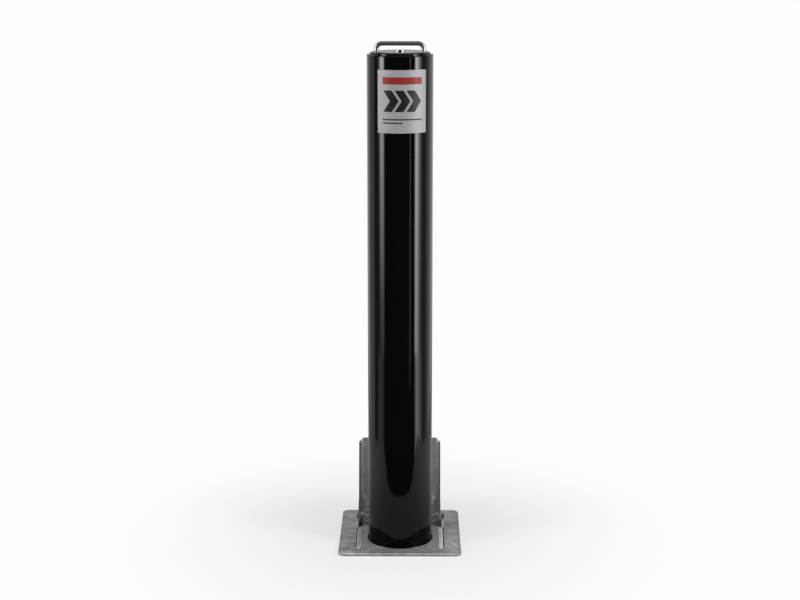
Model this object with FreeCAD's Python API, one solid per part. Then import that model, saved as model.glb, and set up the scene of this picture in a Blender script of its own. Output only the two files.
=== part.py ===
import FreeCAD, Part
import math
import os

# A post that lifts out of a socket set in the ground. A hinged lid behind it covers the hole when it is gone.
# Millimetres. The ground face, the underside of the flange, is z = 0. The post stands on the Z axis.
# The lid stands behind the post, at +Y, leaning back on its hinge.

# Post
post_od = 114.3
post_wall = 5.0
post_rise = 879.0
post_depth = 250.0
post_rim_round = 2.0

# Cap
cap_shoulder = 6.85
cap_bevel_width = 7.8
cap_height = 4.6
cap_edge_height = 0.9
cap_plug = 7.0
cap_round = 0.8
weld_gap = 0.05

# Label plate
label_height = 106.0
label_drop = 23.0
label_half_angle = 45.3
label_turn = 4.7
label_thickness = 0.4
label_corner = 1.0

# Lift handle
bar_diameter = 7.6
leg_inset = 12.05
handle_rise = 21.6
handle_bend = 9.0
handle_travel = 35.0
handle_hole_gap = 0.4
running_gap = 0.08
leg_sleeve_wall = 3.0
leg_sleeve_length = 22.0
collar_wall = 2.8
collar_length = 6.0
leg_tail = 3.0
handle_stop_gap = 0.5

# Lock
plug_diameter = 12.0
plug_sink = 0.4
housing_diameter = 16.0
housing_length = 30.0
bezel_diameter = 18.0
bezel_height = 2.0
bezel_round = 0.8
key_slot_width = 1.6
key_slot_length = 8.0
key_slot_depth = 12.0
key_recess_diameter = 9.4
key_recess_depth = 0.8
tail_side = 6.0
tail_length = 9.0
tail_gap = 0.1

# Lock rod and its bearings
rod_diameter = 12.0
coupler_diameter = 20.0
coupler_length = 30.0
coupler_pin_diameter = 4.0
guide_thickness = 5.0
guide_window_radius = 8.0
guide_window_turn = 90.0
guide_window_count = 3
guide_spacing = 470.0
guide_drop = 170.0
bush_wall = 3.0
bush_flange_wall = 3.5
bush_flange_height = 2.0
foot_thickness = 8.0

# Locking bar below the keeper plate
lock_bar_length = 70.0
lock_bar_width = 12.0
lock_bar_height = 10.0
lock_bar_corner = 3.0
lock_bar_gap = 2.0
nut_across_flats = 17.0
nut_height = 8.0
stud_diameter = 10.0
stud_tail = 4.0
keeper_thickness = 8.0
keeper_slot_room = 5.0
keeper_slot_side_room = 2.0
keeper_drain_diameter = 10.0

# Socket in the ground
guide_gap = 0.35
ring_wall = 2.25
ring_depth = 25.0
ring_chamfer = 0.9
sleeve_wall = 3.7
sump_depth = 52.0
floor_thickness = 6.0
drain_diameter = 34.0
anchor_diameter = 12.0
anchor_reach = 32.0
anchor_drop = 42.0
anchor_bend = 15.0
anchor_level = -150.0
anchor_count = 4

# Ground flange
flange_thickness = 5.0
flange_side_margin = 29.5
flange_front_margin = 22.7
flange_back_margin = 34.5
flange_corner = 12.0
flange_edge_round = 0.8

# Slots and their pockets
slot_web = 7.3
slot_width = 9.2
slot_end_gap = 0.5
slot_back_room = 9.0
pocket_wall = 2.5
pocket_room = 6.5
pocket_drain_diameter = 5.0
rest_bar_width = 6.2
rest_bar_height = 10.0
rest_bar_proud = 0.8
rest_bar_back_gap = 2.0

# Lid
lid_thickness = 3.0
lid_rim_depth = 3.7
lid_cover = 3.7
lid_chamfer = 8.0
lid_fold_radius = 2.2
lid_open_angle = 105.0
lid_side_play = -1.5
ear_side_gap = 2.5
ear_radius = 36.0
ear_lobe = 9.0

# Hinge
hinge_offset = 24.2
hinge_pin_diameter = 7.0
barrel_wall = 2.5
curl_gap = 0.5
curl_stop_angle = 35.0
leaf_thickness = 2.5
leaf_reach = 15.0
barrel_end_gap = 4.8
clip_thickness = 1.5
clip_wall = 2.4
clip_gap = 0.5
pin_tail = 1.5
pin_chamfer = 0.6

# Radii that follow
post_radius = post_od / 2
bore_radius = post_radius - post_wall
ring_inner = post_radius + guide_gap
ring_outer = ring_inner + ring_wall
hole_radius = ring_outer + weld_gap
sleeve_radius = hole_radius + sleeve_wall
rod_radius = rod_diameter / 2
bar_radius = bar_diameter / 2
leg_x = bore_radius - leg_inset
cap_edge_radius = post_radius - cap_shoulder
cap_flat_radius = cap_edge_radius - cap_bevel_width
bush_seat_radius = rod_radius + running_gap + bush_wall + weld_gap
inner_plate_radius = bore_radius - weld_gap
pin_radius = hinge_pin_diameter / 2

# Levels that follow
cap_top = post_rise + cap_height
cap_under = post_rise - cap_plug
post_foot = -post_depth
keeper_under = post_foot - keeper_thickness
floor_top = keeper_under - sump_depth
housing_foot = cap_top - housing_length
coupler_top = housing_foot - tail_gap
coupler_foot = coupler_top - coupler_length
lock_bar_top = keeper_under - lock_bar_gap
lock_bar_foot = lock_bar_top - lock_bar_height
leg_sleeve_foot = cap_under - leg_sleeve_length
collar_top = leg_sleeve_foot - handle_travel - handle_stop_gap
guide_top = post_rise - guide_drop

# Places of the slots, the lid and the hinge that follow
slot_in = sleeve_radius + slot_web
slot_out = slot_in + slot_width
hinge_y = hole_radius + hinge_offset
hinge_z = flange_thickness + rest_bar_proud + lid_rim_depth + lid_thickness
lid_reach = hinge_y + hole_radius + lid_cover
rim_reach = lid_reach - lid_chamfer
lid_half_width = slot_in + ear_side_gap + lid_thickness
barrel_radius = pin_radius + running_gap + barrel_wall
barrel_half_length = slot_in - barrel_end_gap
slot_front = hinge_y - rim_reach - slot_end_gap
slot_back = hinge_y + ear_lobe + slot_back_room
pocket_depth = ear_radius - hinge_z + pocket_room
flange_half_width = slot_out + flange_side_margin
flange_front = -(hole_radius + flange_front_margin)
flange_back = slot_back + flange_back_margin
rest_bar_back = hinge_y - ear_radius - rest_bar_back_gap

up = FreeCAD.Vector(0, 0, 1)
along_x = FreeCAD.Vector(1, 0, 0)
near = 0.01


def save(name, shape):
    """Write one piece."""
    shape.exportStep("parts/" + name + ".step")


def cylinder(radius, low, high, x=0.0, y=0.0):
    """An upright cylinder between two levels."""
    return Part.makeCylinder(radius, high - low, FreeCAD.Vector(x, y, low), up)


def tube(outer, inner, low, high, x=0.0, y=0.0):
    """An upright tube between two levels."""
    return cylinder(outer, low, high, x, y).cut(cylinder(inner, low, high, x, y))


def block(x_low, x_high, y_low, y_high, z_low, z_high):
    """A box between two corners."""
    corner = FreeCAD.Vector(x_low, y_low, z_low)
    return Part.makeBox(x_high - x_low, y_high - y_low, z_high - z_low, corner)


def side_block(side, x_near, x_far, y_low, y_high, z_low, z_high):
    """A box on the left or right, given by its distances from the middle."""
    ends = sorted((side * x_near, side * x_far))
    return block(ends[0], ends[1], y_low, y_high, z_low, z_high)


def cross_cylinder(radius, x_low, x_high):
    """A cylinder along X on the hinge axis."""
    return Part.makeCylinder(radius, x_high - x_low, FreeCAD.Vector(x_low, hinge_y, hinge_z), along_x)


def turned(points):
    """A solid turned about Z from its section, given as (radius, level)."""
    corners = [FreeCAD.Vector(radius, 0, level) for radius, level in points]
    face = Part.Face(Part.makePolygon(corners + corners[:1]))
    return face.revolve(FreeCAD.Vector(0, 0, 0), up, 360)


def plate(points, thickness, direction):
    """A flat plate from its corners, thickened along a direction."""
    face = Part.Face(Part.makePolygon(points + points[:1]))
    return face.extrude(direction * thickness)


def edges_at(shape, test):
    """The edges whose every end and middle passes a test."""
    found = []
    for edge in shape.Edges:
        middle = edge.valueAt((edge.FirstParameter + edge.LastParameter) / 2)
        points = [vertex.Point for vertex in edge.Vertexes] + [middle]
        if all(test(point) for point in points):
            found.append(edge)
    return found


def bent_rod(points, bend, radius):
    """A round bar along straight runs joined by tangent arcs."""
    edges = []
    start = points[0]
    for before, corner, after in zip(points, points[1:], points[2:]):
        back = (before - corner).normalize()
        ahead = (after - corner).normalize()
        half_turn = (math.pi - back.getAngle(ahead)) / 2
        setback = bend * math.tan(half_turn)
        first = corner + back * setback
        last = corner + ahead * setback
        inward = (back + ahead).normalize()
        middle = corner + inward * (bend / math.cos(half_turn) - bend)
        edges.append(Part.LineSegment(start, first).toShape())
        edges.append(Part.Arc(first, middle, last).toShape())
        start = last
    edges.append(Part.LineSegment(start, points[-1]).toShape())
    direction = (points[1] - points[0]).normalize()
    ring = Part.Wire([Part.makeCircle(radius, points[0], direction)])
    return Part.Wire(edges).makePipeShell([ring], True, False)


def rod_bush(low):
    """A flanged bush for the lock rod, whose flange rests on its plate."""
    bore = rod_radius + running_gap
    body = tube(bore + bush_wall, bore, low, low + guide_thickness)
    flange_low = low + guide_thickness
    flange = tube(bore + bush_wall + bush_flange_wall, bore, flange_low, flange_low + bush_flange_height)
    return body.fuse(flange).removeSplitter()


def bush_hole(low, high):
    """The hole that a rod bush sits in."""
    return cylinder(bush_seat_radius, low, high)


# Post

def post_tube():
    """The post's tube, rounded at its outer top edge."""
    body = tube(post_radius, bore_radius, post_foot, post_rise)
    middle_radius = post_radius - post_wall / 2
    rim = edges_at(body, lambda p: p.z > post_rise - near and math.hypot(p.x, p.y) > middle_radius)
    return body.makeFillet(post_rim_round, rim)


def top_cap():
    """The bevelled cap that closes the tube, with holes for the handle's legs and the lock."""
    low_edge = post_rise + cap_edge_height
    body = turned([(0, cap_under), (inner_plate_radius, cap_under), (inner_plate_radius, post_rise),
                   (cap_edge_radius, post_rise), (cap_edge_radius, low_edge), (cap_flat_radius, cap_top),
                   (0, cap_top)])
    bevel = edges_at(body, lambda p: p.z > post_rise + near and math.hypot(p.x, p.y) > cap_flat_radius - near)
    rims = [edge for edge in bevel if abs(edge.Vertexes[0].Z - edge.Vertexes[-1].Z) < near]
    body = body.makeFillet(min(cap_round, cap_edge_height - weld_gap), rims)
    for x in (-leg_x, leg_x):
        body = body.cut(cylinder(bar_radius + handle_hole_gap, cap_under, cap_top, x))
    return body.cut(cylinder(housing_diameter / 2 + weld_gap, cap_under, cap_top))


def label_plate():
    """The thin label on the front, bent to the tube."""
    inner = post_radius + weld_gap
    outer = inner + label_thickness
    top = post_rise - label_drop
    foot = top - label_height
    half_width = inner * math.sin(math.radians(label_half_angle))
    window = block(-half_width, half_width, -post_od, 0, foot, top)
    sides = edges_at(window, lambda p: abs(abs(p.x) - half_width) < near)
    corners = [edge for edge in sides if abs(edge.Vertexes[0].Z - edge.Vertexes[-1].Z) < near]
    window = window.makeFillet(label_corner, corners)
    shape = tube(outer, inner, foot, top).common(window)
    shape.rotate(FreeCAD.Vector(0, 0, 0), up, label_turn)
    return shape


def handle_sleeve(x):
    """The guide of one leg, welded under the cap."""
    bore = bar_radius + running_gap
    return tube(bore + leg_sleeve_wall, bore, leg_sleeve_foot, cap_under, x)


def lock_housing():
    """The lock's barrel, with its rim on the cap."""
    bore = plug_diameter / 2 + running_gap
    rim = cylinder(bezel_diameter / 2, cap_top, cap_top + bezel_height)
    edge = edges_at(rim, lambda p: p.z > cap_top + bezel_height - near)
    rim = rim.makeFillet(bezel_round, edge)
    barrel = cylinder(housing_diameter / 2, housing_foot, cap_top)
    return rim.fuse(barrel).cut(cylinder(bore, housing_foot, cap_top + bezel_height)).removeSplitter()


def rod_guide(top):
    """A plate across the tube that holds a bush of the lock rod, with windows to save weight."""
    low = top - guide_thickness
    body = cylinder(inner_plate_radius, low, top).cut(bush_hole(low, top))
    place = (bush_seat_radius + inner_plate_radius) / 2
    for number in range(guide_window_count):
        angle = math.radians(guide_window_turn + number * 360 / guide_window_count)
        x = place * math.cos(angle)
        y = place * math.sin(angle)
        body = body.cut(cylinder(guide_window_radius, low, top, x, y))
    return body


def foot_plate():
    """The plate at the post's lower end."""
    top = post_foot + foot_thickness
    return cylinder(inner_plate_radius, post_foot, top).cut(bush_hole(post_foot, top))


# Handle

def lift_handle():
    """The bent bar with its two legs."""
    foot = collar_top - collar_length - leg_tail
    top = post_rise + handle_rise - bar_radius
    route = [FreeCAD.Vector(-leg_x, 0, foot), FreeCAD.Vector(-leg_x, 0, top),
             FreeCAD.Vector(leg_x, 0, top), FreeCAD.Vector(leg_x, 0, foot)]
    return bent_rod(route, handle_bend, bar_radius)


def handle_collar(x):
    """The stop at the end of one leg."""
    bore = bar_radius + weld_gap
    return tube(bore + collar_wall, bore, collar_top - collar_length, collar_top, x)


# Lock

def lock_plug():
    """The plug that the key turns, with its square tail."""
    top = cap_top + bezel_height - plug_sink
    body = cylinder(plug_diameter / 2, housing_foot, top)
    half = tail_side / 2
    body = body.fuse(block(-half, half, -half, half, housing_foot - tail_length, housing_foot))
    body = body.cut(cylinder(key_recess_diameter / 2, top - key_recess_depth, top))
    slot_half = key_slot_length / 2
    slot = block(-key_slot_width / 2, key_slot_width / 2, -slot_half, slot_half, top - key_slot_depth, top)
    return body.cut(slot)


def rod_coupler():
    """The sleeve that joins the plug's tail to the rod."""
    half = tail_side / 2 + tail_gap
    body = cylinder(coupler_diameter / 2, coupler_foot, coupler_top)
    body = body.cut(block(-half, half, -half, half, coupler_top - tail_length, coupler_top))
    body = body.cut(cylinder(rod_radius + weld_gap, coupler_foot, coupler_top - tail_length))
    return body.cut(coupler_pin_bar(weld_gap))


def coupler_pin_bar(extra):
    """The cross pin's shape, grown for its hole."""
    level = coupler_foot + (coupler_length - tail_length) / 2
    start = FreeCAD.Vector(-coupler_diameter / 2, 0, level)
    return Part.makeCylinder(coupler_pin_diameter / 2 + extra, coupler_diameter, start, along_x)


def lock_rod():
    """The rod down the post, with a thinner end for the locking bar."""
    top = coupler_top - tail_length - weld_gap
    shaft = cylinder(rod_radius, lock_bar_top, top)
    stud = cylinder(stud_diameter / 2, lock_bar_foot - nut_height - stud_tail, lock_bar_top)
    return shaft.fuse(stud).cut(coupler_pin_bar(weld_gap))


def locking_bar():
    """The bar that turns under the keeper plate. It lies along the slot, as unlocked."""
    half = lock_bar_length / 2
    body = block(-half, half, -lock_bar_width / 2, lock_bar_width / 2, lock_bar_foot, lock_bar_top)
    ends = edges_at(body, lambda p: abs(abs(p.x) - half) < near and abs(abs(p.y) - lock_bar_width / 2) < near)
    body = body.makeFillet(lock_bar_corner, ends)
    return body.cut(cylinder(stud_diameter / 2 + weld_gap, lock_bar_foot, lock_bar_top))


def bar_nut():
    """The nut that holds the locking bar."""
    corner = nut_across_flats / math.sqrt(3)
    nut_foot = lock_bar_foot - nut_height
    points = []
    for step in range(6):
        angle = math.radians(60 * step)
        points.append(FreeCAD.Vector(corner * math.cos(angle), corner * math.sin(angle), nut_foot))
    body = plate(points, nut_height, up)
    return body.cut(cylinder(stud_diameter / 2 + weld_gap, nut_foot, lock_bar_foot))


# Socket

def ground_flange():
    """The plate at ground level, with the post's hole and two long slots."""
    body = block(-flange_half_width, flange_half_width, flange_front, flange_back, 0, flange_thickness)
    sides = edges_at(body, lambda p: abs(abs(p.x) - flange_half_width) < near)
    corners = [edge for edge in sides if abs(edge.Vertexes[0].Y - edge.Vertexes[-1].Y) < near]
    corners = [edge for edge in corners if abs(edge.Vertexes[0].Z - edge.Vertexes[-1].Z) > near]
    body = body.makeFillet(flange_corner, corners)
    top_edges = edges_at(body, lambda p: p.z > flange_thickness - near)
    body = body.makeFillet(flange_edge_round, top_edges)
    body = body.cut(cylinder(hole_radius, 0, flange_thickness))
    for side in (-1, 1):
        body = body.cut(side_block(side, slot_in, slot_out, slot_front, slot_back, 0, flange_thickness))
    return body


def guide_ring():
    """The plastic ring that centres the post."""
    body = tube(ring_outer, ring_inner, flange_thickness - ring_depth, flange_thickness)
    lip = edges_at(body, lambda p: p.z > flange_thickness - near and math.hypot(p.x, p.y) < ring_inner + near)
    return body.makeChamfer(ring_chamfer, lip)


def keeper_plate():
    """The plate that the post stands on. The locking bar passes its slot and turns below it."""
    body = cylinder(hole_radius - weld_gap, keeper_under, post_foot)
    half_length = lock_bar_length / 2 + keeper_slot_room
    widest = max(lock_bar_width, rod_diameter, nut_across_flats * 2 / math.sqrt(3))
    half_width = widest / 2 + keeper_slot_side_room
    body = body.cut(block(-half_length, half_length, -half_width, half_width, keeper_under, post_foot))
    drain_place = (half_width + hole_radius) / 2
    for y in (-drain_place, drain_place):
        body = body.cut(cylinder(keeper_drain_diameter / 2, keeper_under, post_foot, 0, y))
    return body


def socket_floor():
    """The floor of the socket, with its drain hole."""
    return tube(sleeve_radius, drain_diameter / 2, floor_top - floor_thickness, floor_top)


def anchor_bar(turn):
    """One bent bar that holds the sleeve in the concrete."""
    route = [FreeCAD.Vector(sleeve_radius, 0, anchor_level),
             FreeCAD.Vector(sleeve_radius + anchor_reach, 0, anchor_level),
             FreeCAD.Vector(sleeve_radius + anchor_reach, 0, anchor_level - anchor_drop)]
    shape = bent_rod(route, anchor_bend, anchor_diameter / 2)
    shape.rotate(FreeCAD.Vector(0, 0, 0), up, turn)
    return shape


def slot_pocket(side):
    """The closed trough below one slot."""
    outer = side_block(side, slot_in - pocket_wall, slot_out + pocket_wall, slot_front - pocket_wall,
                       slot_back + pocket_wall, -pocket_depth - pocket_wall, 0)
    body = outer.cut(side_block(side, slot_in, slot_out, slot_front, slot_back, -pocket_depth, 0))
    middle = side * (slot_in + slot_out) / 2
    drain = cylinder(pocket_drain_diameter / 2, -pocket_depth - pocket_wall, -pocket_depth, middle, hinge_y)
    return body.cut(drain)


def rest_bar(side):
    """The bar in one slot that carries the closed lid, standing a little proud."""
    top = flange_thickness + rest_bar_proud
    foot = top - rest_bar_height
    return side_block(side, slot_in, slot_in + rest_bar_width, slot_front, rest_bar_back, foot, top)


def hinge_leaf():
    """The fixed leaf of the hinge and its barrel."""
    leaf_front = hinge_y - leaf_reach
    leaf = block(-barrel_half_length, barrel_half_length, leaf_front, hinge_y,
                 flange_thickness, flange_thickness + leaf_thickness)
    barrel = cross_cylinder(barrel_radius, -barrel_half_length, barrel_half_length)
    bore = cross_cylinder(pin_radius + running_gap, -barrel_half_length, barrel_half_length)
    return barrel.fuse(leaf).cut(bore).removeSplitter()


def clip_inner_face():
    """How far out the clips sit, past the ear that the side play brings nearest."""
    return lid_half_width + abs(lid_side_play) + clip_gap


def hinge_pin():
    """The pin through the barrel and the lid's ears."""
    end = clip_inner_face() + clip_thickness + pin_tail
    body = cross_cylinder(pin_radius, -end, end)
    return body.makeChamfer(pin_chamfer, edges_at(body, lambda p: abs(p.x) > end - near))


def pin_clip(side):
    """The clip on one end of the hinge pin."""
    ends = sorted((side * clip_inner_face(), side * (clip_inner_face() + clip_thickness)))
    body = cross_cylinder(pin_radius + weld_gap + clip_wall, ends[0], ends[1])
    return body.cut(cross_cylinder(pin_radius + weld_gap, ends[0], ends[1]))


# Lid

def lid_sheet():
    """The lid's plate with its side rims and the curl over the barrel, as closed."""
    plate_top = hinge_z
    plate_under = hinge_z - lid_thickness
    front = hinge_y - lid_reach
    back = hinge_y - barrel_radius - curl_gap
    half = lid_half_width
    corners = [(-half, back), (-half, front + lid_chamfer), (-half + lid_chamfer, front),
               (half - lid_chamfer, front), (half, front + lid_chamfer), (half, back)]
    body = plate([FreeCAD.Vector(x, y, plate_under) for x, y in corners], lid_thickness, up)
    for side in (-1, 1):
        rim_foot = plate_under - lid_rim_depth
        rim = side_block(side, half - lid_thickness, half, hinge_y - rim_reach, back, rim_foot, plate_top)
        body = body.fuse(rim)
    body = body.removeSplitter()
    folds = edges_at(body, lambda p: abs(abs(p.x) - half) < near and abs(p.z - plate_top) < near)
    body = body.makeFillet(lid_fold_radius, folds)
    return body.fuse(lid_curl())


def lid_curl():
    """The curl over the barrel, as closed. Its end lands on the flange when the lid stands open."""
    inner = barrel_radius + curl_gap
    end = barrel_half_length
    centre = FreeCAD.Vector(0, hinge_y, hinge_z)
    sweep = 180 + curl_stop_angle - lid_open_angle
    start = FreeCAD.Vector(-end, hinge_y, hinge_z)
    sector = Part.makeCylinder(inner + lid_thickness, 2 * end, start, along_x, sweep)
    # The sector starts straight up and runs towards the front. It is turned to end level, at the front.
    sector.rotate(centre, along_x, 90 - sweep)
    return sector.cut(cross_cylinder(inner, -end, end))


def lid_ear(side):
    """One ear that turns on the hinge pin and dips into its slot, as the lid stands open."""
    start = side * (lid_half_width - lid_thickness / 2) - lid_thickness / 2
    lean = math.radians(180 - lid_open_angle)
    far = 2 * ear_radius
    outline = [FreeCAD.Vector(start, hinge_y, hinge_z),
               FreeCAD.Vector(start, hinge_y + far * math.cos(lean), hinge_z + far * math.sin(lean)),
               FreeCAD.Vector(start, hinge_y - far, hinge_z + far),
               FreeCAD.Vector(start, hinge_y - far, hinge_z - ear_lobe),
               FreeCAD.Vector(start, hinge_y, hinge_z - ear_lobe)]
    wedge = plate(outline, lid_thickness, along_x)
    fan = wedge.common(cross_cylinder(ear_radius, start, start + lid_thickness))
    return fan.fuse(cross_cylinder(ear_lobe, start, start + lid_thickness)).removeSplitter()


def hinged_lid():
    """The whole lid, one folded sheet, standing open."""
    body = lid_sheet()
    body.rotate(FreeCAD.Vector(0, hinge_y, hinge_z), along_x, -lid_open_angle)
    for side in (-1, 1):
        body = body.fuse(lid_ear(side))
    body = body.removeSplitter()
    body = body.cut(cross_cylinder(pin_radius + running_gap, -slot_out, slot_out))
    body.translate(FreeCAD.Vector(lid_side_play, 0, 0))
    return body


def main():
    """Write every piece."""
    os.makedirs("parts", exist_ok=True)
    save("post_tube", post_tube())
    save("top_cap", top_cap())
    save("label_plate", label_plate())
    save("lock_housing", lock_housing())
    save("foot_plate", foot_plate())
    save("foot_bush", rod_bush(post_foot + foot_thickness - guide_thickness))
    for name, top in (("upper", guide_top), ("lower", guide_top - guide_spacing)):
        save("rod_guide_" + name, rod_guide(top))
        save("rod_bush_" + name, rod_bush(top - guide_thickness))
    save("lift_handle", lift_handle())
    save("lock_plug", lock_plug())
    save("rod_coupler", rod_coupler())
    save("coupler_pin", coupler_pin_bar(0))
    save("lock_rod", lock_rod())
    save("locking_bar", locking_bar())
    save("bar_nut", bar_nut())
    save("ground_flange", ground_flange())
    save("guide_ring", guide_ring())
    save("socket_sleeve", tube(sleeve_radius, hole_radius, floor_top, 0))
    save("keeper_plate", keeper_plate())
    save("socket_floor", socket_floor())
    for number in range(anchor_count):
        turn = (number + 0.5) * 360 / anchor_count
        save("anchor_bar_" + str(number + 1), anchor_bar(turn))
    save("hinge_leaf", hinge_leaf())
    save("hinge_pin", hinge_pin())
    for name, side in (("left", -1), ("right", 1)):
        save("handle_sleeve_" + name, handle_sleeve(side * leg_x))
        save("handle_collar_" + name, handle_collar(side * leg_x))
        save("slot_pocket_" + name, slot_pocket(side))
        save("rest_bar_" + name, rest_bar(side))
        save("pin_clip_" + name, pin_clip(side))
    save("hinged_lid", hinged_lid())


main()
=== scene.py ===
import math
import random

import bpy
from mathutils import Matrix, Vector

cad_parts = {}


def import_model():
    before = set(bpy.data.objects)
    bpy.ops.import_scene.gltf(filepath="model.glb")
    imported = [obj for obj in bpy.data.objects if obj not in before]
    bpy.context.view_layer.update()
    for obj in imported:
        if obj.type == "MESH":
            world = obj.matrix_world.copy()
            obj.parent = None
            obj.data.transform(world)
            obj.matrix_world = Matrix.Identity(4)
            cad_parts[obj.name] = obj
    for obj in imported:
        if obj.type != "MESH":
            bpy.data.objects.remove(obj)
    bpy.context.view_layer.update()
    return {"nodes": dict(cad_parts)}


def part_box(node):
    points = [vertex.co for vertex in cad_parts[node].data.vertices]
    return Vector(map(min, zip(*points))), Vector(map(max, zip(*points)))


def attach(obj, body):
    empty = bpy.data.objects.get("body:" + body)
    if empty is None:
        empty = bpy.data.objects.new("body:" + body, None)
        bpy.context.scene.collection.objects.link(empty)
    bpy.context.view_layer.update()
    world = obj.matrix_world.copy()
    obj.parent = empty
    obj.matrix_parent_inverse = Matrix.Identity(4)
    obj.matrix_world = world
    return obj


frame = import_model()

# Looks of a lift-out post in its ground socket, with a hinged lid behind it.
# Lengths are in metres, in the frame's own axes: x to the right, y to the back and z up from the ground.
MM = 0.001
UP = Vector((0.0, 0.0, 1.0))

# Places read from the frame
post_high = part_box("post_tube")[1]
cap_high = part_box("top_cap")[1]
label_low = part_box("label_plate")[0]
flange_low, flange_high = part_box("ground_flange")
sleeve_low, sleeve_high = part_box("socket_sleeve")
lid_low, lid_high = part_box("hinged_lid")
leaf_low, leaf_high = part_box("hinge_leaf")
post_radius = post_high.x
post_rim = post_high.z
sleeve_radius = sleeve_high.x

# Sizes and places of the solids that their boxes don't give
ANCHOR_LEVEL = -150.0 * MM
LID_THICKNESS = 3.0 * MM
# Where the pin's painted shade begins, out from its middle
PIN_SHADE_FROM = 78.4 * MM
LABEL_TURN = math.radians(4.7)

# Camera, as fitted to the photograph's vertical and horizontal sizes
CAMERA_PLACE = (0.0225, -2.654, 1.058)
CAMERA_PITCH = 12.924
CAMERA_YAW = 0.487
FRAME_WIDTH = 800
FOCAL_PIXELS = 1542.0
SENSOR = 36.0

# Studio as the camera and matt surfaces find it
BACKDROP_WHITE = 0.985
FILL_LIGHT = 0.42
FLOOR_REACH = 60.0
FLOOR_TUCK = 14.0 * MM
FLOOR_MATT = 0.86
PAPER_SHADED = 0.48
PAPER_LIT = 0.505
PAPER_NEAR = 0.12
PAPER_FAR = 0.58

# Studio as reflections find it
CEILING_FRONT = 0.22
CEILING_BACK = 0.12
CEILING_FROM = 0.4
CEILING_FULL = 0.7
MAT_HALF_WIDTH = 0.62
MAT_FRONT = -0.33
MAT_WAVE = 0.028

# Brightness that reflections find round the post, from straight in front (0) to straight behind (1)
DARK = 0.006
WALL_LEFT = [(0.0, DARK), (0.52, DARK), (0.55, 0.05), (0.595, 0.5), (0.66, 0.5), (0.75, 0.38),
             (0.87, 0.45), (0.93, 0.6), (1.0, 0.5)]
WALL_RIGHT = [(0.0, DARK), (0.54, DARK), (0.6, 0.07), (0.66, 0.21), (0.75, 0.4), (0.87, 0.43),
              (0.93, 0.5), (1.0, 0.5)]
FLOOR_LEFT = [(0.0, DARK), (0.21, DARK), (0.26, 0.35), (0.31, 0.48), (0.41, 0.45), (0.45, 0.09),
              (0.57, 0.09), (0.61, 0.5), (0.75, 0.42), (0.87, 0.62), (0.95, 0.9), (1.0, 0.98)]
FLOOR_RIGHT = [(0.0, DARK), (0.18, DARK), (0.215, 1.0), (0.25, 3.0), (0.31, 1.8), (0.38, 1.1),
               (0.44, 0.2), (0.56, 0.15), (0.65, 0.36), (0.75, 0.68), (0.87, 0.85), (1.0, 0.95)]


# Node helpers

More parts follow.
